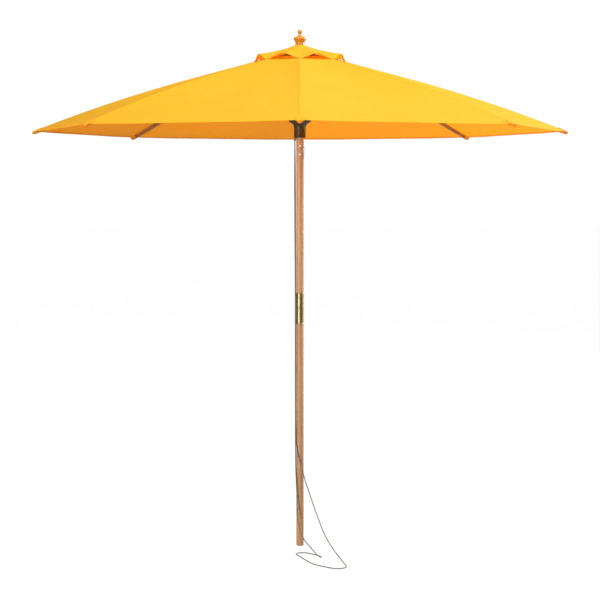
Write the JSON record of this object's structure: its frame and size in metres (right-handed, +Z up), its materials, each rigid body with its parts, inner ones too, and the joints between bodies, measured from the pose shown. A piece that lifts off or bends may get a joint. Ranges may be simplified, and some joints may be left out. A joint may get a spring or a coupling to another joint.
{
  "type": "market parasol",
  "caption": "Octagonal canvas parasol with a vented top on a two-piece wooden pole, with hinged wooden ribs and struts, a sliding runner, a pulley rope and a turned finial.",
  "frame": {"origin": "centre of the pole's foot, on the ground", "axes": "+Z up the pole; rib 1 and the rope's loop on the ground point along -Y, and the rope runs down the pole's -X side"},
  "size_m": [2.6998, 2.6998, 2.642],
  "materials": {
    "pole_wood": "clear varnished hardwood with fine straight grain",
    "frame_wood": "oiled hardwood",
    "finial_wood": "turned and varnished, orange brown",
    "canopy_canvas": "plain woven yellow canvas, matt",
    "ferrule_brass": "drawn brass tube, satin",
    "brass_fittings": "pressed brass, slightly dulled",
    "dark_moulding": "dark bronze brown moulding, slightly glossy",
    "steel": "plated steel",
    "rope_grey": "grey braided cord"
  },
  "bodies": {
    "mast": {"pole_lower": "pole_wood", "pole_upper": "pole_wood", "pole_ferrule": "ferrule_brass", "crown_hub": "dark_moulding", "crown_wire": "steel", "crown_spacer": "frame_wood", "finial": "finial_wood", "finial_stud": "steel", "vent_cap": "canopy_canvas", "pulley_bracket": "steel", "rope": "rope_grey"},
    "pulley": {"pulley_wheel": "brass_fittings"},
    "runner": {"runner": "dark_moulding", "runner_wire": "steel", "rope_knot": "rope_grey"},
    "lock_pin": {"lock_pin": "steel", "pin_chain": "steel"},
    "rib_1": {"rib_1": "frame_wood", "rib_bracket_1": "brass_fittings"},
    "strut_1": {"strut_1": "frame_wood"},
    "half_panel_left_1": {"canopy_left_1": "canopy_canvas"},
    "half_panel_right_1": {"canopy_right_1": "canopy_canvas"},
    "rib_2": {"rib_2": "frame_wood", "rib_bracket_2": "brass_fittings"},
    "strut_2": {"strut_2": "frame_wood"},
    "half_panel_left_2": {"canopy_left_2": "canopy_canvas"},
    "half_panel_right_2": {"canopy_right_2": "canopy_canvas"},
    "rib_3": {"rib_3": "frame_wood", "rib_bracket_3": "brass_fittings"},
    "strut_3": {"strut_3": "frame_wood"},
    "half_panel_left_3": {"canopy_left_3": "canopy_canvas"},
    "half_panel_right_3": {"canopy_right_3": "canopy_canvas"},
    "rib_4": {"rib_4": "frame_wood", "rib_bracket_4": "brass_fittings"},
    "strut_4": {"strut_4": "frame_wood"},
    "half_panel_left_4": {"canopy_left_4": "canopy_canvas"},
    "half_panel_right_4": {"canopy_right_4": "canopy_canvas"},
    "rib_5": {"rib_5": "frame_wood", "rib_bracket_5": "brass_fittings"},
    "strut_5": {"strut_5": "frame_wood"},
    "half_panel_left_5": {"canopy_left_5": "canopy_canvas"},
    "half_panel_right_5": {"canopy_right_5": "canopy_canvas"},
    "rib_6": {"rib_6": "frame_wood", "rib_bracket_6": "brass_fittings"},
    "strut_6": {"strut_6": "frame_wood"},
    "half_panel_left_6": {"canopy_left_6": "canopy_canvas"},
    "half_panel_right_6": {"canopy_right_6": "canopy_canvas"},
    "rib_7": {"rib_7": "frame_wood", "rib_bracket_7": "brass_fittings"},
    "strut_7": {"strut_7": "frame_wood"},
    "half_panel_left_7": {"canopy_left_7": "canopy_canvas"},
    "half_panel_right_7": {"canopy_right_7": "canopy_canvas"},
    "rib_8": {"rib_8": "frame_wood", "rib_bracket_8": "brass_fittings"},
    "strut_8": {"strut_8": "frame_wood"},
    "half_panel_left_8": {"canopy_left_8": "canopy_canvas"},
    "half_panel_right_8": {"canopy_right_8": "canopy_canvas"}
  },
  "joints": [
    {"name": "canopy_fold", "type": "hinge", "parent": "mast", "child": "rib_1", "pos_m": [0, -0.048, 2.516], "axis": [1, 0, 0], "range_deg": [0, 69.5]},
    {"name": "strut_hinge_1", "type": "hinge", "parent": "rib_1", "child": "strut_1", "pos_m": [0, -0.5684, 2.35411], "axis": [1, 0, 0], "range_deg": [-140, 1]},
    {"name": "pleat_left_1", "type": "hinge", "parent": "rib_1", "child": "half_panel_left_1", "pos_m": [0, -0.165, 2.52855], "axis": [0, -0.9536, -0.3009], "range_deg": [-0.5, 70.5]},
    {"name": "pleat_right_1", "type": "hinge", "parent": "rib_1", "child": "half_panel_right_1", "pos_m": [0, -0.165, 2.52855], "axis": [0, -0.9536, -0.3009], "range_deg": [-70.5, 0.5]},
    {"name": "rib_fold_2", "type": "hinge", "parent": "mast", "child": "rib_2", "pos_m": [0.03394, -0.03394, 2.516], "axis": [0.7071, 0.7071, 0], "range_deg": [-0.5, 70]},
    {"name": "strut_hinge_2", "type": "hinge", "parent": "rib_2", "child": "strut_2", "pos_m": [0.40192, -0.40192, 2.35411], "axis": [0.7071, 0.7071, 0], "range_deg": [-140, 1]},
    {"name": "pleat_left_2", "type": "hinge", "parent": "rib_2", "child": "half_panel_left_2", "pos_m": [0.11667, -0.11667, 2.52855], "axis": [0.6743, -0.6743, -0.3009], "range_deg": [-0.5, 70.5]},
    {"name": "pleat_right_2", "type": "hinge", "parent": "rib_2", "child": "half_panel_right_2", "pos_m": [0.11667, -0.11667, 2.52855], "axis": [0.6743, -0.6743, -0.3009], "range_deg": [-70.5, 0.5]},
    {"name": "rib_fold_3", "type": "hinge", "parent": "mast", "child": "rib_3", "pos_m": [0.048, 0, 2.516], "axis": [0, 1, 0], "range_deg": [-0.5, 70]},
    {"name": "strut_hinge_3", "type": "hinge", "parent": "rib_3", "child": "strut_3", "pos_m": [0.5684, 0, 2.35411], "axis": [0, 1, 0], "range_deg": [-140, 1]},
    {"name": "pleat_left_3", "type": "hinge", "parent": "rib_3", "child": "half_panel_left_3", "pos_m": [0.165, 0, 2.52855], "axis": [0.9536, 0, -0.3009], "range_deg": [-0.5, 70.5]},
    {"name": "pleat_right_3", "type": "hinge", "parent": "rib_3", "child": "half_panel_right_3", "pos_m": [0.165, 0, 2.52855], "axis": [0.9536, 0, -0.3009], "range_deg": [-70.5, 0.5]},
    {"name": "rib_fold_4", "type": "hinge", "parent": "mast", "child": "rib_4", "pos_m": [0.03394, 0.03394, 2.516], "axis": [-0.7071, 0.7071, 0], "range_deg": [-0.5, 70]},
    {"name": "strut_hinge_4", "type": "hinge", "parent": "rib_4", "child": "strut_4", "pos_m": [0.40192, 0.40192, 2.35411], "axis": [-0.7071, 0.7071, 0], "range_deg": [-140, 1]},
    {"name": "pleat_left_4", "type": "hinge", "parent": "rib_4", "child": "half_panel_left_4", "pos_m": [0.11667, 0.11667, 2.52855], "axis": [0.6743, 0.6743, -0.3009], "range_deg": [-0.5, 70.5]},
    {"name": "pleat_right_4", "type": "hinge", "parent": "rib_4", "child": "half_panel_right_4", "pos_m": [0.11667, 0.11667, 2.52855], "axis": [0.6743, 0.6743, -0.3009], "range_deg": [-70.5, 0.5]},
    {"name": "rib_fold_5", "type": "hinge", "parent": "mast", "child": "rib_5", "pos_m": [0, 0.048, 2.516], "axis": [-1, 0, 0], "range_deg": [-0.5, 70]},
    {"name": "strut_hinge_5", "type": "hinge", "parent": "rib_5", "child": "strut_5", "pos_m": [0, 0.5684, 2.35411], "axis": [-1, 0, 0], "range_deg": [-140, 1]},
    {"name": "pleat_left_5", "type": "hinge", "parent": "rib_5", "child": "half_panel_left_5", "pos_m": [0, 0.165, 2.52855], "axis": [0, 0.9536, -0.3009], "range_deg": [-0.5, 70.5]},
    {"name": "pleat_right_5", "type": "hinge", "parent": "rib_5", "child": "half_panel_right_5", "pos_m": [0, 0.165, 2.52855], "axis": [0, 0.9536, -0.3009], "range_deg": [-70.5, 0.5]},
    {"name": "rib_fold_6", "type": "hinge", "parent": "mast", "child": "rib_6", "pos_m": [-0.03394, 0.03394, 2.516], "axis": [-0.7071, -0.7071, 0], "range_deg": [-0.5, 70]},
    {"name": "strut_hinge_6", "type": "hinge", "parent": "rib_6", "child": "strut_6", "pos_m": [-0.40192, 0.40192, 2.35411], "axis": [-0.7071, -0.7071, 0], "range_deg": [-140, 1]},
    {"name": "pleat_left_6", "type": "hinge", "parent": "rib_6", "child": "half_panel_left_6", "pos_m": [-0.11667, 0.11667, 2.52855], "axis": [-0.6743, 0.6743, -0.3009], "range_deg": [-0.5, 70.5]},
    {"name": "pleat_right_6", "type": "hinge", "parent": "rib_6", "child": "half_panel_right_6", "pos_m": [-0.11667, 0.11667, 2.52855], "axis": [-0.6743, 0.6743, -0.3009], "range_deg": [-70.5, 0.5]},
    {"name": "rib_fold_7", "type": "hinge", "parent": "mast", "child": "rib_7", "pos_m": [-0.048, 0, 2.516], "axis": [0, -1, 0], "range_deg": [-0.5, 70]},
    {"name": "strut_hinge_7", "type": "hinge", "parent": "rib_7", "child": "strut_7", "pos_m": [-0.5684, 0, 2.35411], "axis": [0, -1, 0], "range_deg": [-140, 1]},
    {"name": "pleat_left_7", "type": "hinge", "parent": "rib_7", "child": "half_panel_left_7", "pos_m": [-0.165, 0, 2.52855], "axis": [-0.9536, 0, -0.3009], "range_deg": [-0.5, 70.5]},
    {"name": "pleat_right_7", "type": "hinge", "parent": "rib_7", "child": "half_panel_right_7", "pos_m": [-0.165, 0, 2.52855], "axis": [-0.9536, 0, -0.3009], "range_deg": [-70.5, 0.5]},
    {"name": "rib_fold_8", "type": "hinge", "parent": "mast", "child": "rib_8", "pos_m": [-0.03394, -0.03394, 2.516], "axis": [0.7071, -0.7071, 0], "range_deg": [-0.5, 70]},
    {"name": "strut_hinge_8", "type": "hinge", "parent": "rib_8", "child": "strut_8", "pos_m": [-0.40192, -0.40192, 2.35411], "axis": [0.7071, -0.7071, 0], "range_deg": [-140, 1]},
    {"name": "pleat_left_8", "type": "hinge", "parent": "rib_8", "child": "half_panel_left_8", "pos_m": [-0.11667, -0.11667, 2.52855], "axis": [-0.6743, -0.6743, -0.3009], "range_deg": [-0.5, 70.5]},
    {"name": "pleat_right_8", "type": "hinge", "parent": "rib_8", "child": "half_panel_right_8", "pos_m": [-0.11667, -0.11667, 2.52855], "axis": [-0.6743, -0.6743, -0.3009], "range_deg": [-70.5, 0.5]},
    {"name": "runner_slide", "type": "hinge", "parent": "strut_1", "child": "runner", "pos_m": [0, -0.048, 2.19223], "axis": [1, 0, 0], "range_deg": [-0.5, 70]},
    {"name": "pulley_spin", "type": "hinge", "parent": "mast", "child": "pulley", "pos_m": [-0.026, 0, 2.463], "axis": [1, 0, 0], "continuous": true},
    {"name": "pin_swing", "type": "hinge", "parent": "runner", "child": "lock_pin", "pos_m": [0.01807, -0.02006, 2.09923], "axis": [0.6691, -0.7431, 0], "range_deg": [-30, 30]}
  ],
  "couplings": [
    {"joint": "strut_hinge_1", "follows": "canopy_fold", "ratio": -2},
    {"joint": "pleat_left_1", "follows": "canopy_fold", "ratio": 1.0072},
    {"joint": "pleat_right_1", "follows": "canopy_fold", "ratio": -1.0072},
    {"joint": "rib_fold_2", "follows": "canopy_fold", "ratio": 1},
    {"joint": "strut_hinge_2", "follows": "canopy_fold", "ratio": -2},
    {"joint": "pleat_left_2", "follows": "canopy_fold", "ratio": 1.0072},
    {"joint": "pleat_right_2", "follows": "canopy_fold", "ratio": -1.0072},
    {"joint": "rib_fold_3", "follows": "canopy_fold", "ratio": 1},
    {"joint": "strut_hinge_3", "follows": "canopy_fold", "ratio": -2},
    {"joint": "pleat_left_3", "follows": "canopy_fold", "ratio": 1.0072},
    {"joint": "pleat_right_3", "follows": "canopy_fold", "ratio": -1.0072},
    {"joint": "rib_fold_4", "follows": "canopy_fold", "ratio": 1},
    {"joint": "strut_hinge_4", "follows": "canopy_fold", "ratio": -2},
    {"joint": "pleat_left_4", "follows": "canopy_fold", "ratio": 1.0072},
    {"joint": "pleat_right_4", "follows": "canopy_fold", "ratio": -1.0072},
    {"joint": "rib_fold_5", "follows": "canopy_fold", "ratio": 1},
    {"joint": "strut_hinge_5", "follows": "canopy_fold", "ratio": -2},
    {"joint": "pleat_left_5", "follows": "canopy_fold", "ratio": 1.0072},
    {"joint": "pleat_right_5", "follows": "canopy_fold", "ratio": -1.0072},
    {"joint": "rib_fold_6", "follows": "canopy_fold", "ratio": 1},
    {"joint": "strut_hinge_6", "follows": "canopy_fold", "ratio": -2},
    {"joint": "pleat_left_6", "follows": "canopy_fold", "ratio": 1.0072},
    {"joint": "pleat_right_6", "follows": "canopy_fold", "ratio": -1.0072},
    {"joint": "rib_fold_7", "follows": "canopy_fold", "ratio": 1},
    {"joint": "strut_hinge_7", "follows": "canopy_fold", "ratio": -2},
    {"joint": "pleat_left_7", "follows": "canopy_fold", "ratio": 1.0072},
    {"joint": "pleat_right_7", "follows": "canopy_fold", "ratio": -1.0072},
    {"joint": "rib_fold_8", "follows": "canopy_fold", "ratio": 1},
    {"joint": "strut_hinge_8", "follows": "canopy_fold", "ratio": -2},
    {"joint": "pleat_left_8", "follows": "canopy_fold", "ratio": 1.0072},
    {"joint": "pleat_right_8", "follows": "canopy_fold", "ratio": -1.0072},
    {"joint": "runner_slide", "follows": "canopy_fold", "ratio": 1}
  ]
}
